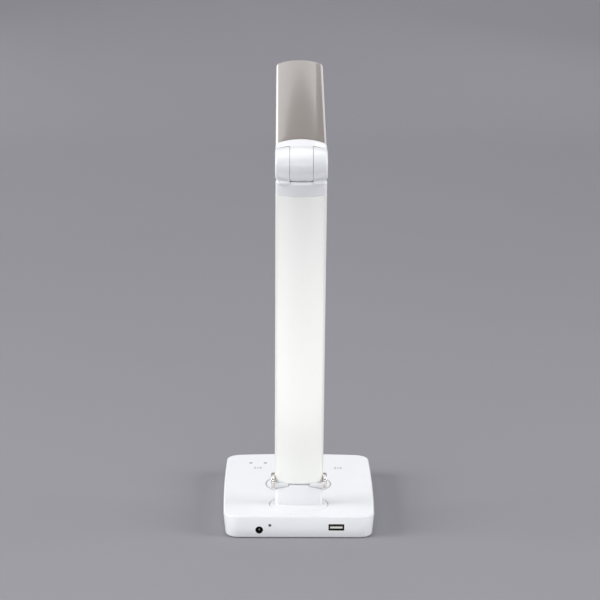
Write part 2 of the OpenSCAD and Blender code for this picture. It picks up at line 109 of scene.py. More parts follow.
SWIVEL = Vector(joints["base_swivel"]["pos_m"])
TABLE_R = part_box("stem_housing")[1].x
TABLE_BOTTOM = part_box("stem_housing")[0].z
WELL_R = TABLE_R + 0.4 * MM
CUP_WALL = 2.2 * MM
CUP_BOTTOM = BASE_TOP - 8.2 * MM
SPINDLE_HOLE_R = 9.97 * MM
STOP_SLOT = (18.2 * MM, 21.8 * MM)
STOP_SWEEP = 49.6
RING_R = 28.6 * MM
RING_HALF = 0.6 * MM
RING_DEPTH = 0.4 * MM

STEM_W = 41 * MM
FOOT_FLARE = 0.8 * MM
NECK_GAP = 2.4 * MM
ARM_W = 2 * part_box("arm_sleeve")[1].x
ARM_T = 13.2 * MM
SIDE_R = 4 * MM
KNUCKLE_X = 8.5 * MM
KNUCKLE_R = 5 * MM
EAR_X = 9.1 * MM
EAR_R = 6.7 * MM
OPEN_GAP = 0.35 * MM
SLEEVE_LOW = 1.3 * MM
SLEEVE_HIGH = 289.9 * MM
SLEEVE_WALL = 1.2 * MM
COLLAR_TOP = SLEEVE_HIGH + 12.3 * MM
PLUG_END = SLEEVE_HIGH - 24 * MM
SPINE_END = SLEEVE_HIGH - 2.9 * MM
RIBBON_END = SLEEVE_HIGH + 20.1 * MM
# distance from an end and inset there
EASED = ((0, 0.3 * MM), (0.09 * MM, 0.12 * MM), (0.3 * MM, 0))

BARREL_R = 15 * MM
BARREL_CROWN = 75 * MM
EAR_OUT = 21.25 * MM
EAR_ROUND = 2.4 * MM
ROOT_X = 9.3 * MM
SLOT_X = 9.6 * MM
PIN_R = 4.02 * MM
HINGE_COVER_R = 8 * MM

HEAD_W = 2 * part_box("head_top_cover")[1].x
HEAD_L = 262 * MM
HEAD_TOP = 13 * MM
HEAD_LOW = -0.4 * MM
HEAD_CORNER = 4 * MM
HEAD_CORNER_H = 6.2 * MM
HEAD_CORNER_X = HEAD_W / 2 - HEAD_CORNER
HEAD_RISE = HEAD_TOP - HEAD_CORNER_H
HEAD_CROWN = (HEAD_CORNER_X ** 2 + HEAD_RISE ** 2 - HEAD_CORNER ** 2) / (2 * (HEAD_RISE - HEAD_CORNER))
HEAD_TILT = radians(7.6)
TIP_CORNER = 6 * MM
ROOT_L = 26 * MM
FRAME_TOP = 1 * MM
# half the length of a cutter that passes both sides of the stem, arm and head
ACROSS = 30 * MM

# ---------- the arm's and the head's frames, from the joints ----------

LOWER = Vector(joints["arm_tilt"]["pos_m"])
UPPER = Vector(joints["head_tilt"]["pos_m"])
FOLD = BARREL_R - ARM_T / 2
REACH = UPPER - LOWER
ARM_L = sqrt(REACH.length_squared - FOLD ** 2)
ARM_LEAN = atan2(-REACH.y, REACH.z) + atan2(FOLD, ARM_L)
ON_ARM = Matrix.Translation(LOWER) @ Matrix.Rotation(ARM_LEAN, 4, "X")
ON_HEAD = Matrix.Translation(UPPER) @ Matrix.Rotation(HEAD_TILT, 4, "X")
ON_SWIVEL = Matrix.Translation((SWIVEL.x, SWIVEL.y, 0))

# ---------- outlines ----------


def arc(cx, cy, r, start, end, steps):
    """Points of an arc, the angles in degrees."""
    turn = [radians(start + (end - start) * i / steps) for i in range(steps + 1)]
    return [(cx + r * cos(a), cy + r * sin(a)) for a in turn]


def quarter(steps):
    """The angles of a quarter turn, in radians."""
    return [radians(90 * i / steps) for i in range(steps + 1)]


def easing(share):
    """Falls from 1 to 0, level at both ends."""
    share = min(1, max(0, share))
    return (1 - share) ** 2 * (1 + 2 * share)


def bowed(p, q, out, steps):
    """Points between p and q, bowed out along a direction."""
    share = [i / steps for i in range(1, steps)]
    return [tuple(p[k] + (q[k] - p[k]) * t + out[k] * 4 * t * (1 - t) for k in (0, 1)) for t in share]


def base_outline(inset, rear_inset):
    """The base seen from above, drawn in from its sides and from its rear face."""
    inset += SKIN_INSET
    r = max(BASE_CORNER - inset, INNER_CORNER)
    half = BASE_W / 2 - SIDE_BOW - inset
    front = BASE_L / 2 - FRONT_BOW - inset
    rear = BASE_REAR + rear_inset
    side_slope = degrees(atan2(4 * SIDE_BOW, front - rear))
    front_slope = degrees(atan2(2 * FRONT_BOW, half))
    right = arc(half - r, rear + r, r, -90, -side_slope, 16)
    right += bowed((half, rear + r), (half, front - r), (SIDE_BOW, 0), 20)
    right += arc(half - r, front - r, r, side_slope, 90 - front_slope, 16)
    tip = bowed((half - r, front), (r - half, front), (0, FRONT_BOW), 24)
    return right + tip + [(-x, y) for x, y in reversed(right)]


def side_inset(z):
    """How far the base's side wall stands in at a height: rounded below, leaning out, rounded above."""
    lean = SIDE_DRAFT * (BASE_TOP - z) / (BASE_TOP - BASE_BOTTOM)
    under = max(0, BASE_BOTTOM + LOW_EDGE - z)
    over = max(0, z - BASE_TOP + TOP_EDGE)
    return lean + LOW_EDGE - sqrt(LOW_EDGE ** 2 - under ** 2) + TOP_EDGE - sqrt(TOP_EDGE ** 2 - over ** 2)


def oval_section(w, t, r):
    """The arm's and the stem's section: two crowned faces and round sides."""
    side = w / 2 - r
    crown = (side ** 2 + (t / 2) ** 2 - r ** 2) / (t - 2 * r)
    drop = crown - t / 2
    meet = degrees(atan2(drop, side))
    points = arc(side, 0, r, -meet, meet, 16)[:-1]
    points += arc(0, -drop, crown, meet, 180 - meet, 36)[:-1]
    points += arc(-side, 0, r, 180 - meet, 180 + meet, 16)[:-1]
    return points + arc(0, drop, crown, 180 + meet, 360 - meet, 36)[:-1]


def head_section(half, low, inset=0.0, lift=0.0):
    """The head's crowned section up to half its width, x across and h up from the hinge axis."""
    meet = degrees(atan2(HEAD_CROWN - HEAD_RISE, HEAD_CORNER_X))
    r = HEAD_CORNER - inset
    points = [(HEAD_CORNER_X + r, low)] + arc(HEAD_CORNER_X, HEAD_CORNER_H, r, 0, meet, 14)[:-1]
    points += arc(0, HEAD_TOP - HEAD_CROWN, HEAD_CROWN - inset, meet, 180 - meet, 36)[:-1]
    points += arc(-HEAD_CORNER_X, HEAD_CORNER_H, r, 180 - meet, 180, 14) + [(-HEAD_CORNER_X - r, low)]
    return [(max(-half, min(half, x)), h if h == low else h + lift) for x, h in points]


def barrel_radius(x):
    """The crowned barrel's radius at a distance from its middle."""
    return BARREL_R - BARREL_CROWN + sqrt(BARREL_CROWN ** 2 - x ** 2)


# ---------- meshes ----------


def skin(rings, ring_closed=True, capped=True, looped=False):
    """A surface over rings of equally many points."""
    bm = bmesh.new()
    rows = [[bm.verts.new(p) for p in ring] for ring in rings]
    count = len(rows[0])
    pairs = list(zip(rows, rows[1:]))
    if looped:
        pairs.append((rows[-1], rows[0]))
    for a, b in pairs:
        for i in range(count if ring_closed else count - 1):
            j = (i + 1) % count
            bm.faces.new((a[i], a[j], b[j], b[i]))
    if capped:
        bm.faces.new(rows[0])
        bm.faces.new(rows[-1])
    bmesh.ops.remove_doubles(bm, verts=bm.verts, dist=MERGE)
    bmesh.ops.recalc_face_normals(bm, faces=bm.faces)
    return bm


def prism(outlines):
    """A solid over (height, outline) pairs."""
    return skin([[(x, y, z) for x, y in outline] for z, outline in outlines])


def turned(profile, steps=96):
    """A solid turned about X from (x, radius) points that start and end on the axis."""
    turn = [2 * pi * i / steps for i in range(steps)]
    return skin([[(x, r * cos(a), r * sin(a)) for a in turn] for x, r in profile[1:-1]])


def ring_body(profile, steps):
    """A ring turned about Z from a closed outline of (radius, z) points."""
    turn = [2 * pi * i / steps for i in range(steps)]
    rings = [[(r * cos(a), r * sin(a), z) for r, z in profile] for a in turn]
    return skin(rings, capped=False, looped=True)


def rounded(x0, x1, r, edge):
    """The turning profile of a bar with rounded rims."""
    steps = 5
    low = arc(x0 + edge, r - edge, edge, 180, 90, steps)
    high = arc(x1 - edge, r - edge, edge, 90, 0, steps)
    return [(x0, 0)] + low + high + [(x1, 0)]


def bar(x0, x1, r, steps=96):
    """A plain bar about X."""
    return turned([(x0, 0), (x0, r), (x1, r), (x1, 0)], steps)


def through(r, steps=96):
    """A cutter for a bore about X through the whole width."""
    return bar(-ACROSS, ACROSS, r, steps)


def box(low, high):
    """A block between two corners."""
    corners = [(low[0], low[1]), (high[0], low[1]), (high[0], high[1]), (low[0], high[1])]
    return prism([(low[2], corners), (high[2], corners)])


def moved(bm, matrix):
    """bm itself, in its new place."""
    bm.transform(matrix)
    return bm


def mirrored(bm):
    """The mesh and its mirror image across x = 0, as one."""
    twin = bm.copy()
    bmesh.ops.scale(twin, vec=(-1, 1, 1), verts=twin.verts)
    bmesh.ops.reverse_faces(twin, faces=twin.faces)
    return together([bm, twin])


def together(meshes):
    """Separate closed meshes in one."""
    whole = bmesh.new()
    for bm in meshes:
        part = bpy.data.meshes.new("part")
        bm.to_mesh(part)
        bm.free()
        whole.from_mesh(part)
        bpy.data.meshes.remove(part)
    return whole


def linked(name, bm):
    """A new object in the scene with the mesh, which is used up."""
    mesh = bpy.data.meshes.new(name)
    bm.to_mesh(mesh)
    bm.free()
    obj = bpy.data.objects.new(name, mesh)
    bpy.context.scene.collection.objects.link(obj)
    return obj


def combine(bm, tool, operation):
    """bm with tool cut away, added or kept in common."""
    body = linked("body", bm)
    cutter = linked("tool", tool)
    modifier = body.modifiers.new("boolean", "BOOLEAN")
    modifier.operation = operation
    modifier.solver = "EXACT"
    modifier.object = cutter
    graph = bpy.context.evaluated_depsgraph_get()
    result = bmesh.new()
    result.from_object(body, graph)
    for obj in (body, cutter):
        mesh = obj.data
        bpy.data.objects.remove(obj)
        bpy.data.meshes.remove(mesh)
    bmesh.ops.remove_doubles(result, verts=result.verts, dist=MERGE)
    return result


def cut(bm, *tools):
    """bm with each tool cut away in turn."""
    for tool in tools:
        bm = combine(bm, tool, "DIFFERENCE")
    return bm


def joined(bm, *others):
    """bm and the others as one solid."""
    for other in others:
        bm = combine(bm, other, "UNION")
    return bm


def piece(name, bm, body, slot, place=IN_PLACE, edge=0.0, replaced=()):
    """The finished object: placed, its edges softened, painted and riding on its body."""
    bm.transform(place)
    obj = linked(name, bm)
    mesh = obj.data
    # a mesh taken from the CAD brings its old normals along
    stale = mesh.attributes.get("custom_normal")
    if stale:
        mesh.attributes.remove(stale)
    mesh.shade_smooth()
    mesh.set_sharp_from_angle(angle=SMOOTH_BELOW)
    mesh.materials.append(PAINTS[slot])
    if edge:
        bevel = obj.modifiers.new("edges", "BEVEL")
        bevel.width = edge
        bevel.segments = 3
        bevel.limit_method = "ANGLE"
        bevel.angle_limit = BEVEL_ABOVE
        bevel.miter_outer = "MITER_ARC"
        bevel.harden_normals = True
    weights = obj.modifiers.new("normals", "WEIGHTED_NORMAL")
    weights.keep_sharp = True
    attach(obj, body)
    if replaced:
        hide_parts(*replaced)


def refined(node, name, edge):
    """A piece with the shape of a CAD node and softened edges."""
    source = frame["nodes"][node]
    bm = bmesh.new()
    bm.from_mesh(source.data)
    bmesh.ops.remove_doubles(bm, verts=bm.verts, dist=CAD_MERGE)
    bmesh.ops.dissolve_limit(bm, angle_limit=radians(1), verts=bm.verts, edges=bm.edges)
    piece(name, bm, source["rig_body"], SLOT_OF[node], edge=edge, replaced=[node])


# ---------- materials ----------


def linear(red, green, blue):
    """An sRGB colour, 0 to 255, as linear RGBA."""
    return [pow((c / 255 + 0.055) / 1.055, 2.4) for c in (red, green, blue)] + [1.0]


def new_material(name, colour, rough, metal=0.0):
    """A material, its shader and its coordinates in metres on the object."""
    mat = bpy.data.materials.new(name)
    mat.use_nodes = True
    tree = mat.node_tree
    shader = tree.nodes["Principled BSDF"]
    shader.inputs["Base Color"].default_value = colour
    shader.inputs["Roughness"].default_value = rough
    shader.inputs["Metallic"].default_value = metal
    mat.diffuse_color = colour
    place = tree.nodes.new("ShaderNodeTexCoord").outputs["Object"]
    return mat, tree, shader, place


def noise(tree, place, size, detail=3.0, stretch=None):
    """Noise whose blotches are about size metres across."""
    if stretch:
        mapping = tree.nodes.new("ShaderNodeMapping")
        mapping.inputs["Scale"].default_value = stretch
        tree.links.new(place, mapping.inputs["Vector"])
        place = mapping.outputs["Vector"]
    node = tree.nodes.new("ShaderNodeTexNoise")
    node.inputs["Scale"].default_value = 1 / size
    node.inputs["Detail"].default_value = detail
    tree.links.new(place, node.inputs["Vector"])
    return node.outputs["Fac"]


def cells(tree, place, size, metric="EUCLIDEAN"):
    """The distance from the middles of cells about size metres across."""
    node = tree.nodes.new("ShaderNodeTexVoronoi")
    node.distance = metric
    node.inputs["Scale"].default_value = 1 / size
    tree.links.new(place, node.inputs["Vector"])
    return node.outputs["Distance"]


def spread(tree, value, low, high, start=0.3, end=0.7):
    """A noise value spread over low to high."""
    node = tree.nodes.new("ShaderNodeMapRange")
    node.inputs["From Min"].default_value = start
    node.inputs["From Max"].default_value = end
    node.inputs["To Min"].default_value = low
    node.inputs["To Max"].default_value = high
    tree.links.new(value, node.inputs["Value"])
    return node.outputs["Result"]


def mottle(tree, shader, value, first, second):
    """Colour that drifts from first to second."""
    ramp = tree.nodes.new("ShaderNodeValToRGB")
    ramp.color_ramp.elements[0].position = 0.3
    ramp.color_ramp.elements[1].position = 0.7
    ramp.color_ramp.elements[0].color = first
    ramp.color_ramp.elements[1].color = second
    tree.links.new(value, ramp.inputs["Fac"])
    tree.links.new(ramp.outputs["Color"], shader.inputs["Base Color"])


def relief(tree, shader, value, depth):
    """Bump of a real depth in metres."""
    bump = tree.nodes.new("ShaderNodeBump")
    bump.inputs["Strength"].default_value = 1.0
    bump.inputs["Distance"].default_value = depth
    tree.links.new(value, bump.inputs["Height"])
    tree.links.new(bump.outputs["Normal"], shader.inputs["Normal"])


def tinted(colour, factor):
    """A colour made darker or lighter."""
    return [c * factor for c in colour[:3]] + [1.0]


def moulded(name, colour, rough, grain, depth, coat=0.0):
    """Moulded plastic: fine grain, faint flow marks and slightly uneven gloss."""
    mat, tree, shader, place = new_material(name, colour, rough)
    mottle(tree, shader, noise(tree, place, 30 * MM), tinted(colour, 0.99), tinted(colour, 1.005))
    gloss = spread(tree, noise(tree, place, 22 * MM, 1.0), rough * 0.97, rough * 1.03, 0.2, 0.8)
    tree.links.new(gloss, shader.inputs["Roughness"])
    relief(tree, shader, noise(tree, place, grain, 4.0), depth)
    shader.inputs["Coat Weight"].default_value = coat
    shader.inputs["Coat Roughness"].default_value = 0.06
    return mat


def lacquered(name, colour, rough, metal, flake, coat):
    """Metallic lacquer: fine flake under a smooth clear coat."""
    mat, tree, shader, place = new_material(name, colour, rough, metal)
    mottle(tree, shader, noise(tree, place, flake, 2.0), tinted(colour, 0.96), tinted(colour, 1.03))
    gloss = spread(tree, noise(tree, place, 9 * MM), rough * 0.94, rough * 1.08)
    tree.links.new(gloss, shader.inputs["Roughness"])
    relief(tree, shader, noise(tree, place, flake, 2.0), 0.0005 * MM)
    shader.inputs["Coat Weight"].default_value = coat
    shader.inputs["Coat Roughness"].default_value = 0.08
    return mat


def metal(name, colour, rough, brushed=None):
    """Bare or plated metal, with brushing where it has a direction."""
    mat, tree, shader, place = new_material(name, colour, rough, 1.0)
    mottle(tree, shader, noise(tree, place, 5 * MM), tinted(colour, 0.9), tinted(colour, 1.05))
    lines = noise(tree, place, 0.4 * MM, 5.0, brushed)
    tree.links.new(spread(tree, lines, rough * 0.7, rough * 1.4), shader.inputs["Roughness"])
    relief(tree, shader, lines, 0.004 * MM)
    return mat


def rubber(name, colour):
    """Matt rubber with a pebbled skin and dust in its hollows."""
    mat, tree, shader, place = new_material(name, colour, 0.8)
    mottle(tree, shader, noise(tree, place, 14 * MM), tinted(colour, 0.8), tinted(colour, 1.5))
    relief(tree, shader, cells(tree, place, 1.1 * MM), 0.12 * MM)
    return mat


def board_green(name, colour):
    """Solder mask with copper tracks showing through."""
    mat, tree, shader, place = new_material(name, colour, 0.35)
    tracks = cells(tree, place, 3 * MM, "MANHATTAN")
    mottle(tree, shader, tracks, tinted(colour, 1.5), tinted(colour, 0.7))
    relief(tree, shader, tracks, 0.03 * MM)
    return mat


def opal(name, colour):
    """Opal diffuser sheet: light scatters under a satin face with fine prismatic texture."""
    mat, tree, shader, place = new_material(name, colour, 0.42)
    shader.inputs["Subsurface Weight"].default_value = 0.35
    shader.inputs["Subsurface Radius"].default_value = (4 * MM, 4 * MM, 4 * MM)
    shader.inputs["Subsurface Scale"].default_value = 1.0
    mottle(tree, shader, noise(tree, place, 25 * MM), tinted(colour, 0.98), colour)
    relief(tree, shader, cells(tree, place, 0.7 * MM), 0.05 * MM)
    return mat


def clear_sheet(name, colour):
    """Clear acrylic with printed light-extraction dots."""
    mat, tree, shader, place = new_material(name, colour, 0.08)
    shader.inputs["Transmission Weight"].default_value = 0.9
    shader.inputs["IOR"].default_value = 1.49
    dots = cells(tree, place, 1.6 * MM)
    tree.links.new(spread(tree, dots, 0.4, 0.05, 0.1, 0.3), shader.inputs["Roughness"])
    mottle(tree, shader, noise(tree, place, 20 * MM), tinted(colour, 0.98), colour)
    return mat


def make_paints():
    """One material for each slot of the record."""
    white = linear(233, 234, 236)
    return {
        "white_gloss": moulded("white_gloss", white, 0.26, 4 * MM, 0.0006 * MM, 0.35),
        "white_matt": moulded("white_matt", linear(232, 233, 235), 0.5, 0.35 * MM, 0.01 * MM),
        "rubber": rubber("rubber", linear(48, 48, 50)),
        "ballast_steel": metal("ballast_steel", linear(150, 152, 156), 0.42),
        "screw_steel": metal("screw_steel", linear(186, 187, 190), 0.3),
        "circuit_board": board_green("circuit_board", linear(30, 92, 58)),
        "contact_metal": metal("contact_metal", linear(226, 190, 110), 0.25),
        "ring_grey": moulded("ring_grey", linear(164, 165, 166), 0.6, 0.3 * MM, 0.001 * MM),
        "socket_black": moulded("socket_black", linear(18, 18, 19), 0.38, 0.25 * MM, 0.006 * MM),
        "socket_steel": metal("socket_steel", linear(58, 56, 55), 0.32),
        "tongue_white": moulded("tongue_white", linear(222, 222, 214), 0.45, 0.3 * MM, 0.005 * MM),
        "lens_smoke": moulded("lens_smoke", linear(70, 70, 76), 0.12, 0.6 * MM, 0.001 * MM, 0.5),
        "bearing_plastic": moulded("bearing_plastic", linear(228, 225, 212), 0.5, 0.4 * MM, 0.006 * MM),
        "pearl_metal": lacquered("pearl_metal", linear(250, 251, 246), 0.34, 0.25, 0.22 * MM, 0.3),
        "silver_gloss": lacquered("silver_gloss", linear(163, 153, 141), 0.24, 0.55, 0.15 * MM, 0.8),
        "chrome": metal("chrome", linear(226, 222, 216), 0.06),
        "diffuser_milk": opal("diffuser_milk", linear(245, 245, 240)),
        "clear_acrylic": clear_sheet("clear_acrylic", linear(240, 245, 246)),
        "reflector_white": moulded("reflector_white", linear(246, 246, 246), 0.6, 0.5 * MM, 0.004 * MM),
        "led_yellow": moulded("led_yellow", linear(240, 214, 110), 0.5, 0.2 * MM, 0.006 * MM),
        "heat_aluminium": metal("heat_aluminium", linear(196, 197, 200), 0.36, (1, 0.05, 1)),
        "ribbon_grey": moulded("ribbon_grey", linear(158, 160, 164), 0.55, 0.5 * MM, 0.01 * MM),
    }


def paint_nodes():
    """Gives every CAD node the material of its slot."""
    for node, slot in SLOT_OF.items():
        materials = frame["nodes"][node].data.materials
        materials.clear()
        materials.append(PAINTS[slot])


# ---------- base ----------


def stop_slot():
    """A cutter for the arc slot of the stop pin, in front of the swivel axis."""
    inner, outer = STOP_SLOT
    low, high = CUP_BOTTOM - MM, CUP_BOTTOM + CUP_WALL + 0.8 * MM
    corners = ((inner, low), (outer, low), (outer, high), (inner, high))
    sweep = arc(0, 0, 1, 90 - STOP_SWEEP, 90 + STOP_SWEEP, 40)
    return skin([[(r * x, r * y, z) for r, z in corners] for x, y in sweep])


def ring_groove():
    """A cutter for the groove of the touch ring."""
    low, high = BASE_TOP - RING_DEPTH, BASE_TOP + MM
    inner, outer = RING_R - RING_HALF, RING_R + RING_HALF
    return ring_body([(inner, low), (outer, low), (outer, high), (inner, high)], 128)


def base_walls():
    """The top shell with drafted walls and round edges, hollow, with a step for the bottom cover."""
    low_rise = [LOW_EDGE * (1 - cos(a)) for a in quarter(10)]
    high_rise = [TOP_EDGE * sin(a) for a in quarter(10)]
    heights = [BASE_BOTTOM + h for h in low_rise] + [BASE_TOP - TOP_EDGE + h for h in high_rise]
    levels = [(z, base_outline(side_inset(z), REAR_SHARE * side_inset(z))) for z in heights]
    mouth = base_outline(LOW_INSET, REAR_WALL)
    hollow = base_outline(HIGH_INSET, REAR_WALL)
    step = BASE_BOTTOM + BOTTOM_COVER_T + 0.5 * MM
    overlap = 0.1 * MM
    return cut(
        prism(levels),
        prism([(-MM, mouth), (step + overlap, mouth)]),
        prism([(step, hollow), (BASE_TOP - ROOF, hollow)]),
    )


def base_casing():
    """The base's top shell, with the turntable's well in a cup, the groove and the sockets' openings."""
    turn_z = ON_SWIVEL @ UPRIGHT
    cup = moved(bar(CUP_BOTTOM, BASE_TOP - 0.5 * MM, WELL_R + CUP_WALL), turn_z)
    well = moved(bar(CUP_BOTTOM + CUP_WALL, 2 * BASE_TOP, WELL_R), turn_z)
    hole = moved(bar(0, BASE_TOP, SPINDLE_HOLE_R), turn_z)
    slot = moved(stop_slot(), ON_SWIVEL)
    shell = cut(joined(base_walls(), cup), well, hole, slot, ring_groove(), *socket_cutters())
    piece("base_casing", shell, "base", "white_gloss", edge=0.22 * MM, replaced=["base_top_shell"])


def along_y(bm, x, z):
    """Turns a mesh made about X so that it lies about Y, through x and z."""
    return moved(bm, Matrix.Translation((x, 0, z)) @ Matrix.Rotation(pi / 2, 4, "Z"))


def socket_cutters():
    """The openings in the rear face: the inlet, the indicator and the outlet."""
    inlet = centre_of("dc_jack_pin")
    lens = centre_of("indicator_lens")
    mouth = centre_of("usb_shell")
    outside, inside = BASE_REAR - MM, BASE_REAR + 6 * MM
    return [
        along_y(bar(outside, inside, INLET_R, 64), inlet.x, inlet.z),
        along_y(bar(outside, inside, LENS_HOLE_R, 48), lens.x, lens.z),
        slab(mouth, *USB_OPENING, outside, inside),
    ]


def screw_spots():
    """Where the four screws of the bottom cover stand."""
    low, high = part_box("base_screws")
    across = (low.x + SCREW_HEAD_R, high.x - SCREW_HEAD_R)
    along = (low.y + SCREW_HEAD_R, high.y - SCREW_HEAD_R)
    return [(x, y) for x in across for y in along]


def centre_of(node):
    """The middle of a CAD node's box."""
    low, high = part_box(node)
    return (low + high) / 2


def rounded_rect(w, h, r):
    """The outline of a rounded rectangle about the origin."""
    x, y = w / 2 - r, h / 2 - r
    corners = [(x, y, 0), (-x, y, 90), (-x, -y, 180), (x, -y, 270)]
    return [p for cx, cy, a in corners for p in arc(cx, cy, r, a, a + 90, 6)]


def upright_rect(centre, w, h, r, y):
    """A rounded rectangle's ring of points, standing at one y."""
    return [(centre.x + x, y, centre.z + z) for x, z in rounded_rect(w, h, r)]


def slab(centre, w, h, r, y0, y1):
    """A bar of rounded rectangular section along Y."""
    return skin([upright_rect(centre, w, h, r, y) for y in (y0, y1)])


def touch_marks():
    """Printed marks of the touch keys, nearly flush: two round lamps and two groups of three strokes."""
    low, high = BASE_TOP - 0.05 * MM, BASE_TOP + 0.02 * MM
    lamp_y = 64 * MM
    lamp_r = 1.7 * MM
    lamps = []
    for x in (-42.8 * MM, -29.6 * MM):
        outline = arc(x, lamp_y, lamp_r, 0, 345, 23)
        lamps.append(prism([(low, outline), (high, outline)]))
    piece("key_lamps", together(lamps), "base", "lens_smoke")
    key_y = 48.6 * MM
    pitch = 2.6 * MM
    strokes = []
    for middle in (-36.3 * MM, 36.1 * MM):
        for step in (-pitch, 0, pitch):
            tall = 6 * MM if step else 4 * MM
            shape = rounded_rect(1.3 * MM, tall, 0.6 * MM)
            outline = [(middle + step + x, key_y + y) for x, y in shape]
            strokes.append(prism([(low, outline), (high, outline)]))
    piece("key_strokes", together(strokes), "base", "ring_grey")


def dc_inlet():
    """The inlet's nose with its chamfered well, and the block behind it."""
    spot = centre_of("dc_jack_pin")
    face = BASE_REAR + 0.7 * MM
    nose = bar(face, BASE_REAR + 5 * MM, INLET_R - 0.05 * MM, 64)
    low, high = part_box("dc_jack_body")
    block = box((low.x, BASE_REAR + REAR_WALL + 0.1 * MM, low.z), (high.x, high.y, high.z))
    well_r = 2.75 * MM
    well_end = BASE_REAR + 12 * MM
    chamfer = [(face - MM, 0), (face - MM, 4 * MM), (face + 0.45 * MM, well_r)]
    well = turned(chamfer + [(well_end, well_r), (well_end, 0)], 64)
    body = cut(joined(block, along_y(nose, spot.x, spot.z)), along_y(well, spot.x, spot.z))
    piece("dc_inlet_body", body, "base", "socket_black", replaced=["dc_jack_body"])


def dc_pin():
    """The inlet's round-nosed centre pin."""
    spot = centre_of("dc_jack_pin")
    low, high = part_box("dc_jack_pin")
    r = high.x - spot.x
    nose = arc(low.y + r, 0, r, 180, 90, 8)[1:]
    pin = turned([(low.y, 0)] + nose + [(high.y, r), (high.y, 0)], 48)
    piece("dc_inlet_pin", along_y(pin, spot.x, spot.z), "base", "screw_steel", replaced=["dc_jack_pin"])


def usb_outlet():
    """The outlet's folded metal shell with a flared lip, and its tongue."""
    spot = centre_of("usb_shell")
    low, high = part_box("usb_shell")
    w, h = high.x - low.x, high.z - low.z
    wall = 0.5 * MM
    clear_w, clear_h = w - 2 * wall, h - 2 * wall
    flare = 0.3 * MM
    inner_r, lip_r, outer_r = 0.5 * MM, 0.6 * MM, 0.9 * MM
    shell = skin([
        upright_rect(spot, clear_w, clear_h, inner_r, high.y - MM),
        upright_rect(spot, clear_w, clear_h, inner_r, low.y + wall),
        upright_rect(spot, clear_w + flare, clear_h + flare, lip_r, low.y),
        upright_rect(spot, w, h, outer_r, low.y),
        upright_rect(spot, w, h, outer_r, high.y),
    ])
    piece("usb_outlet_shell", shell, "base", "socket_steel", edge=0.08 * MM, replaced=["usb_shell"])
    refined("usb_tongue", "usb_outlet_tongue", 0.2 * MM)


def indicator():
    """The indicator's domed lens."""
    spot = centre_of("indicator_lens")
    low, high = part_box("indicator_lens")
    r = high.x - spot.x
    rise = 0.35 * MM
    dome = [(low.y + rise * (1 - cos(a)), r * sin(a)) for a in quarter(10)]
    lens = turned(dome + [(high.y, r), (high.y, 0)], 48)
    piece("indicator_dome", along_y(lens, spot.x, spot.z), "base", "lens_smoke", replaced=["indicator_lens"])


def base_screw_heads():
    """Four pan-head screws with cross recesses, seen from below."""
    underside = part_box("base_screws")[0].z
    head_h = 0.9 * MM
    shank_r = 1.25 * MM
    shank_end = 9 * MM
    cross_l, cross_w, cross_depth = 3.4 * MM, 0.7 * MM, 0.55 * MM
    profile = rounded(0, head_h, SCREW_HEAD_R, 0.4 * MM)[:-1]
    profile += [(head_h, shank_r), (shank_end, shank_r), (shank_end, 0)]
    screws = []
    for x, y in screw_spots():
        screw = turned(profile, 48)
        for w, h in ((cross_l, cross_w), (cross_w, cross_l)):
            screw = cut(screw, box((-MM, -w / 2, -h / 2), (cross_depth, w / 2, h / 2)))
        screws.append(moved(screw, Matrix.Translation((x, y, underside)) @ UPRIGHT))
    piece("base_screw_heads", together(screws), "base", "screw_steel", replaced=["base_screws"])


def make_base():
    """Every visible piece of the base."""
    base_casing()
    touch_marks()
    dc_inlet()
    dc_pin()
    usb_outlet()
    indicator()
    base_screw_heads()
    refined("base_bottom_cover", "base_underside", 0.3 * MM)
    refined("anti_slip_pad", "rubber_sheet", 0.25 * MM)
    refined("touch_ring", "key_ring", 0.04 * MM)


# ---------- turntable, arm and hinges ----------


def stem_outline(out=0):
    """The stem's section, drawn out all round."""
    return oval_section(STEM_W + 2 * out, ARM_T + 2 * out, SIDE_R + out)


def stem_column(axis, neck_top):
    """The stem on its flared foot, hollowed under the arm's ears and open in front of them."""
    foot = [(BASE_TOP - MM, stem_outline(FOOT_FLARE))]
    for a in quarter(6):
        foot.append((BASE_TOP + FOOT_FLARE * (1 - cos(a)), stem_outline(FOOT_FLARE * (1 - sin(a)))))
    seat = EAR_R + OPEN_GAP
    front = box((-ACROSS, MM, -seat - 0.1 * MM), (ACROSS, 10 * MM, 10 * MM))
    return cut(prism(foot + [(neck_top, stem_outline())]), moved(through(seat), axis), moved(front, axis))


def stem_knuckle(axis, neck_top):
    """The neck between the ears, the knuckle on it, and the throat that joins the two."""
    outline = stem_outline()
    middle = box((-KNUCKLE_X, -10 * MM, BASE_TOP), (KNUCKLE_X, 10 * MM, LOWER.z))
    neck = combine(prism([(BASE_TOP, outline), (neck_top, outline)]), middle, "INTERSECT")
    knuckle = moved(bar(-KNUCKLE_X, KNUCKLE_X, KNUCKLE_R), axis)
    x, y = KNUCKLE_X - 0.02 * MM, KNUCKLE_R - 0.3 * MM
    throat = moved(box((-x, -y, -8 * MM), (x, y, -0.5 * MM)), axis)
    return neck, knuckle, throat


def bracket_pocket():
    """The hollow that the steel bracket stands in: a round foot and a post."""
    foot = moved(bar(TABLE_BOTTOM - MM, TABLE_BOTTOM + 1.8 * MM, 10.3 * MM, 48), UPRIGHT)
    x, y = 7.1 * MM, 3.6 * MM
    return joined(foot, box((-x, -y, TABLE_BOTTOM + 0.5 * MM), (x, y, LOWER.z - 5.6 * MM)))


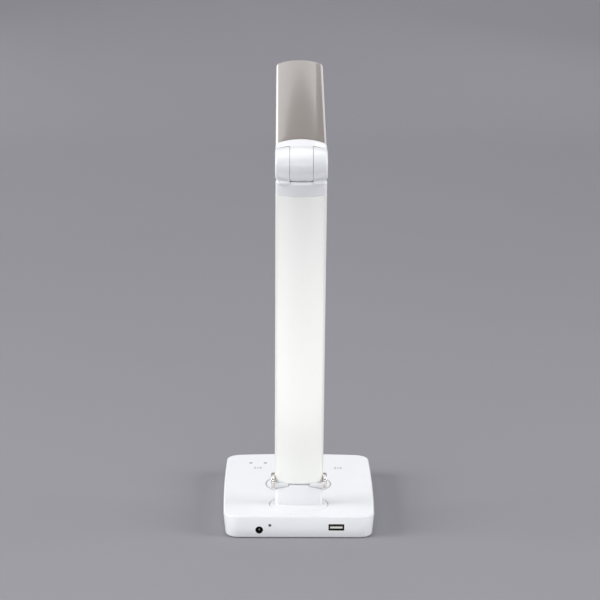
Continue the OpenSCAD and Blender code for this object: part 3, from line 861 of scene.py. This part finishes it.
def stem():
    """The round turntable with the stem's foot, column, neck and knuckle."""
    axis = Matrix.Translation((0, 0, LOWER.z))
    neck_top = LOWER.z - NECK_GAP
    disc = moved(turned(rounded(TABLE_BOTTOM, BASE_TOP, TABLE_R, 0.35 * MM), 128), UPRIGHT)
    body = joined(disc, stem_column(axis, neck_top), *stem_knuckle(axis, neck_top))
    body = cut(body, moved(through(3.05 * MM, 64), axis), bracket_pocket())
    piece("stem_and_turntable", body, "turntable", "white_gloss", ON_SWIVEL, replaced=["stem_housing"])


def arm_ring(s, inset):
    """The arm's section at a distance along it, drawn in all round."""
    outline = oval_section(ARM_W - 2 * inset, ARM_T - 2 * inset, SIDE_R - inset)
    return [(x, y, s) for x, y in outline]


def sleeve():
    """The arm's extruded sleeve: a hollow crowned section with eased ends and a slot for the stem."""
    rings = [arm_ring(SLEEVE_LOW + d, inset) for d, inset in EASED]
    rings += [arm_ring(SLEEVE_LOW + (SLEEVE_HIGH - SLEEVE_LOW) * i / 12, 0) for i in range(1, 12)]
    rings += [arm_ring(SLEEVE_HIGH - d, inset) for d, inset in reversed(EASED)]
    rings += [arm_ring(SLEEVE_HIGH, SLEEVE_WALL), arm_ring(SLEEVE_LOW, SLEEVE_WALL)]
    tube = skin(rings, capped=False, looped=True)
    slot_x = EAR_X + 0.1 * MM
    slot = box((-slot_x, 0, 0), (slot_x, 10 * MM, 8.4 * MM))
    tube = cut(tube, slot, through(3.3 * MM, 48))
    piece("arm_tube", tube, "arm", "pearl_metal", ON_ARM, replaced=["arm_sleeve"])


def collar():
    """The moulded collar over the sleeve's end, rounded at the top, and its plug inside the sleeve."""
    plug = SLEEVE_WALL + 0.05 * MM
    top_round = 2 * MM
    rings = [arm_ring(PLUG_END, plug), arm_ring(SLEEVE_HIGH - 0.01 * MM, plug)]
    rings += [arm_ring(SLEEVE_HIGH + d, inset) for d, inset in EASED]
    for a in quarter(8):
        rings.append(arm_ring(COLLAR_TOP - top_round * (1 - sin(a)), top_round * (1 - cos(a))))
    return skin(rings)


def ear():
    """One ear of the crowned barrel, in the upper hinge's frame."""
    bulge = [SLOT_X + (EAR_OUT - EAR_ROUND - SLOT_X) * i / 16 for i in range(17)]
    profile = [(SLOT_X, 0)] + [(x, barrel_radius(x)) for x in bulge]
    end_r = profile[-1][1]
    profile += arc(EAR_OUT - EAR_ROUND, end_r - EAR_ROUND, EAR_ROUND, 80, 0, 10)
    body = turned(profile + [(EAR_OUT, 0)], 128)
    cover_seat = bar(EAR_OUT - 1.6 * MM, EAR_OUT + MM, HINGE_COVER_R + 0.1 * MM, 64)
    return cut(body, cover_seat)


def web():
    """The web from the collar up to an ear, with a hollow fillet behind, in the arm's frame."""
    back = -5.8 * MM
    fillet = 2.6 * MM
    outline = [(back, COLLAR_TOP - 2 * MM)]
    outline += arc(back, COLLAR_TOP + fillet, fillet, -90, -8, 10)
    outline += [(0, ARM_L - 4 * MM), (FOLD, ARM_L - 6 * MM)]
    outline += [(FOLD - MM, COLLAR_TOP - MM), (5 * MM, COLLAR_TOP - 3 * MM)]
    return skin([[(x, t, s) for t, s in outline] for x in (SLOT_X, SLOT_X + 8.8 * MM)])


def upper_end():
    """The arm's upper end: collar, webs and ears, cut for the head's knuckle and the pin."""
    hinge = Matrix.Translation((0, FOLD, ARM_L))
    body = joined(collar(), mirrored(web()), mirrored(moved(ear(), hinge)))
    steps = [SLOT_X * (i / 12 * 2 - 1) for i in range(13)]
    room = [(-SLOT_X, 0)] + [(x, barrel_radius(x) + OPEN_GAP) for x in steps] + [(SLOT_X, 0)]
    pin_end = 19.6 * MM
    bore = bar(-pin_end, pin_end, PIN_R, 48)
    below = PLUG_END - 6 * MM
    spine_way = box((-12.05 * MM, -1.55 * MM, below), (12.05 * MM, 1.55 * MM, SPINE_END))
    ribbon_way = box((-8 * MM, 2.4 * MM, below), (8 * MM, 3.6 * MM, RIBBON_END))
    body = cut(body, moved(turned(room, 128), hinge), moved(bore, hinge), spine_way, ribbon_way)
    piece("arm_collar_and_ears", body, "arm", "white_gloss", ON_ARM, replaced=["arm_upper_end"])


def cap_profile(r, t):
    """A polished cap's turning profile: a chamfered flange, a waist, a round rim and a dished face."""
    chamfer = 0.5 * MM
    waist_r = r - 0.35 * MM
    rim = 0.9 * MM
    flange = [(0, 0), (0, r - chamfer), (chamfer, r), (1.1 * MM, r)]
    waist = [(1.3 * MM, waist_r), (1.6 * MM, waist_r)]
    dish = [(t, r - 2 * MM), (t - 0.5 * MM, r - 2.9 * MM), (t - 0.6 * MM, 0)]
    return flange + waist + arc(t - rim, r - 1.1 * MM, rim, 80, 0, 8) + dish


def pivot_caps():
    """The lower hinge's polished caps, one on each side."""
    for side, node in ((1, "pivot_cap_right"), (-1, "pivot_cap_left")):
        low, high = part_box(node)
        cap = turned(cap_profile((high.y - low.y) / 2, high.x - low.x))
        if side < 0:
            cap = moved(cap, Matrix.Rotation(pi, 4, "Z"))
        inner = low.x if side > 0 else high.x
        place = Matrix.Translation((inner, LOWER.y, LOWER.z))
        piece(node + "_polished", cap, "arm", "chrome", place, replaced=[node])


def pin_covers():
    """The flush covers at both ends of the upper hinge, with a fine rim."""
    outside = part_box("upper_pin_caps")[1].x
    disc = turned(rounded(outside - 1.4 * MM, outside, HINGE_COVER_R, 0.35 * MM), 64)
    place = Matrix.Translation((0, UPPER.y, UPPER.z))
    piece("hinge_covers", mirrored(disc), "arm", "white_gloss", place, replaced=["upper_pin_caps"])


def make_arm():
    """The turntable with its stem, and the arm with both hinges."""
    stem()
    sleeve()
    refined("arm_lower_end", "arm_foot", 0.25 * MM)
    upper_end()
    pivot_caps()
    pin_covers()


# ---------- head ----------


def top_at(x, lift):
    """The head's crown height at a distance from the middle."""
    if abs(x) <= HEAD_CORNER_X * HEAD_CROWN / (HEAD_CROWN - HEAD_CORNER):
        return lift + HEAD_TOP - HEAD_CROWN + sqrt(HEAD_CROWN ** 2 - x ** 2)
    return lift + HEAD_CORNER_H + sqrt(max(0, HEAD_CORNER ** 2 - (abs(x) - HEAD_CORNER_X) ** 2))


def root_lift(m):
    """How far the root's top stands above the cover's, easing down from the barrel's crown."""
    return (BARREL_R - HEAD_TOP) * easing(m / ROOT_L)


def root_ring(x, knuckle):
    """The root's outline at one x: round the barrel for the knuckle, or hollowed clear of the ears."""
    r = barrel_radius(x) + (0 if knuckle else OPEN_GAP)
    if knuckle:
        start_m, start_a, end_a = 0, 90, 360 + degrees(asin(HEAD_LOW / r))
    else:
        start_a, end_a = ear_top_angle(x, r), degrees(asin(HEAD_LOW / r))
        start_m = r * cos(radians(start_a))
    count = 28
    top = []
    for i in range(count + 1):
        m = ROOT_L + (start_m - ROOT_L) * i / count
        drop = knuckle_drop(x, m) if knuckle else 0
        top.append((m, top_at(x, root_lift(m)) - drop))
    swept = arc(0, 0, r, start_a, end_a, 48)[1:]
    outline = [(ROOT_L, HEAD_LOW)] + top + swept
    return [(x, m, h) for m, h in outline]


def knuckle_drop(x, m):
    """Brings the crown of the root down to the barrel's where the two meet."""
    return (top_at(x, BARREL_R - HEAD_TOP) - barrel_radius(x)) * easing(m / (0.5 * ROOT_L))


def ear_top_angle(x, r):
    """Where the root's top meets the clearance round the ears."""
    angle = 90.0
    for _ in range(40):
        h = top_at(x, root_lift(r * cos(radians(angle))))
        angle = degrees(asin(min(1, h / r)))
    return angle


def root_tongue():
    """The tongue that reaches from the root under the cover, with its two screw holes."""
    x, y = 15 * MM, ROOT_L + 18 * MM
    tongue = box((-x, ROOT_L - MM, HEAD_TOP - 5.6 * MM), (x, y, HEAD_TOP - 3.8 * MM))
    spot = Matrix.Translation((10 * MM, ROOT_L + 10 * MM, 0)) @ UPRIGHT
    return cut(tongue, mirrored(moved(bar(0, 20 * MM, 1.25 * MM, 24), spot)))


def head_root():
    """The head's moulded root: the knuckle in the middle and a shoulder on each side."""
    shoulder = [ROOT_X + (HEAD_CORNER_X - ROOT_X) * i / 8 for i in range(8)]
    shoulder += [HEAD_CORNER_X + HEAD_CORNER * sin(a) for a in quarter(14)]
    middle = [ROOT_X * (i / 12 - 1) for i in range(25)]
    rings = [root_ring(-x, False) for x in reversed(shoulder)]
    rings += [root_ring(x, True) for x in middle]
    rings += [root_ring(x, False) for x in shoulder]
    wire_way = box((-4 * MM, 6 * MM, 1.6 * MM), (4 * MM, ROOT_L + MM, 5.6 * MM))
    body = cut(skin(rings), through(PIN_R + 0.03 * MM, 48), wire_way)
    body = joined(body, root_tongue())
    piece("head_root_and_knuckle", body, "head", "white_gloss", ON_HEAD, replaced=["head_root"])


def tip_half_width(m):
    """Half the head's width at m, drawn in round the two corners of the tip."""
    into = max(0, m - (HEAD_L - TIP_CORNER))
    return HEAD_W / 2 - TIP_CORNER + sqrt(max(0, TIP_CORNER ** 2 - into ** 2))


def cover():
    """The head's lacquered cover: a crowned shell, eased at the root and round at the tip."""
    low = FRAME_TOP + 0.05 * MM
    start = ROOT_L + 0.05 * MM
    stations = [(start, 0.25 * MM), (start + 0.1 * MM, 0.1 * MM), (start + 0.3 * MM, 0)]
    stations += [(start + 12 * MM * i, 0) for i in range(1, 19)]
    stations += [(HEAD_L - TIP_CORNER + TIP_CORNER * sin(a), 0) for a in quarter(15)]
    tip_round = 1.6 * MM
    rings = []
    for m, drop in stations:
        into = max(0, m - (HEAD_L - tip_round))
        drop += tip_round - sqrt(tip_round ** 2 - into ** 2)
        rings.append([(x, m, h) for x, h in head_section(tip_half_width(m), low, 0, -drop)])
    wall = 1.4 * MM
    inner = head_section(HEAD_W, low - MM, wall)
    hollow = skin([[(x, m, h) for x, h in inner] for m in (start - MM, HEAD_L - 5 * MM)])
    shell = cut(skin(rings), hollow)
    piece("head_cover", shell, "head", "silver_gloss", ON_HEAD, 0.2 * MM, ["head_top_cover"])


def make_head():
    """Every visible piece of the head."""
    head_root()
    cover()
    refined("head_frame", "head_rim", 0.3 * MM)
    refined("diffuser", "diffuser_sheet", 0.15 * MM)


# ---------- studio ----------


def aim(obj, target):
    """Turns a light to face a point."""
    direction = Vector(target) - obj.location
    obj.rotation_euler = direction.to_track_quat("-Z", "Y").to_euler()


def softbox(name, place, target, size, power):
    """A white area light that the camera doesn't see."""
    light = bpy.data.lights.new(name, "AREA")
    light.shape = "RECTANGLE"
    light.size = size[0]
    light.size_y = size[1]
    light.energy = power
    obj = bpy.data.objects.new(name, light)
    obj.location = place
    obj.visible_camera = False
    bpy.context.scene.collection.objects.link(obj)
    aim(obj, target)


def make_floor():
    """A plain pale floor that curves up into a plain backdrop."""
    reach, side = 4.0, 4.0
    depth, rise, bend = 3.0, 3.0, 1.2
    line = [(-reach, 0), (0, 0), (depth - bend, 0)]
    line += [(depth - bend + y, z + bend) for y, z in arc(0, 0, bend, -90, 0, 24)[1:]]
    line += [(depth, bend + rise)]
    bm = skin([[(x, y, z) for y, z in line] for x in (-side, side)], ring_closed=False, capped=False)
    floor = linked("floor", bm)
    floor.data.shade_smooth()
    paper = linear(145, 144, 149)
    mat, tree, shader, place = new_material("backdrop_paper", paper, 0.9)
    mottle(tree, shader, noise(tree, place, 0.5), tinted(paper, 0.99), tinted(paper, 1.01))
    shader.inputs["Specular IOR Level"].default_value = 0.1
    floor.data.materials.append(mat)


def make_studio():
    """The floor, a faint even light and the softboxes; the two cards light the base from the floor."""
    make_floor()
    world = bpy.data.worlds.new("studio")
    bpy.context.scene.world = world
    world.use_nodes = True
    ambient = world.node_tree.nodes["Background"]
    ambient.inputs["Color"].default_value = (0.93, 0.94, 1.0, 1)
    ambient.inputs["Strength"].default_value = 0.34
    middle = (0, -0.05, 0.2)
    head = (0, 0, 0.35)
    softbox("left", (-3.0, -0.8, 1.5), middle, (1.8, 1.8), 90)
    softbox("right", (3.0, -0.8, 1.5), middle, (1.8, 1.8), 66)
    softbox("overhead", (0, 0.2, 3.6), middle, (2.4, 2.4), 27)
    softbox("high_rear", (-0.4, -1.6, 3.2), middle, (2.4, 1.6), 16)
    softbox("behind_camera", (-0.3, -3.6, 0.9), middle, (2.4, 1.2), 12)
    softbox("back", (-0.3, 2.2, 0.92), head, (1.3, 0.8), 2.5)
    softbox("rim_left", (-0.78, 2.2, 0.6), head, (0.4, 1.0), 1.5)
    softbox("rim_right", (0.55, 2.2, 0.68), head, (0.6, 0.8), 1.25)
    softbox("table_card", (0, -0.275, 0.003), (0, -0.275, 1), (0.5, 0.26), 0.4)
    softbox("near_card", (0, -0.118, 0.003), (0, -0.118, 1), (0.24, 0.03), 0.012)


def make_camera():
    """The photograph's view: a long lens, slightly above, behind the lamp."""
    data = bpy.data.cameras.new("camera")
    data.lens = 165
    data.sensor_width = 36
    camera = bpy.data.objects.new("camera", data)
    camera.location = (-0.0181, -2.340, BASE_TOP + 0.7164)
    pan, down, roll = radians(-0.46), radians(13.2), radians(0.286)
    turn = Matrix.Rotation(pan, 3, "Z") @ Matrix.Rotation(pi / 2 - down, 3, "X")
    camera.rotation_euler = (turn @ Matrix.Rotation(roll, 3, "Z")).to_euler()
    bpy.context.scene.collection.objects.link(camera)
    bpy.context.scene.camera = camera
    bpy.context.scene.view_settings.view_transform = "Standard"


PAINTS = make_paints()

make_camera()
paint_nodes()
make_base()
make_arm()
make_head()
make_studio()
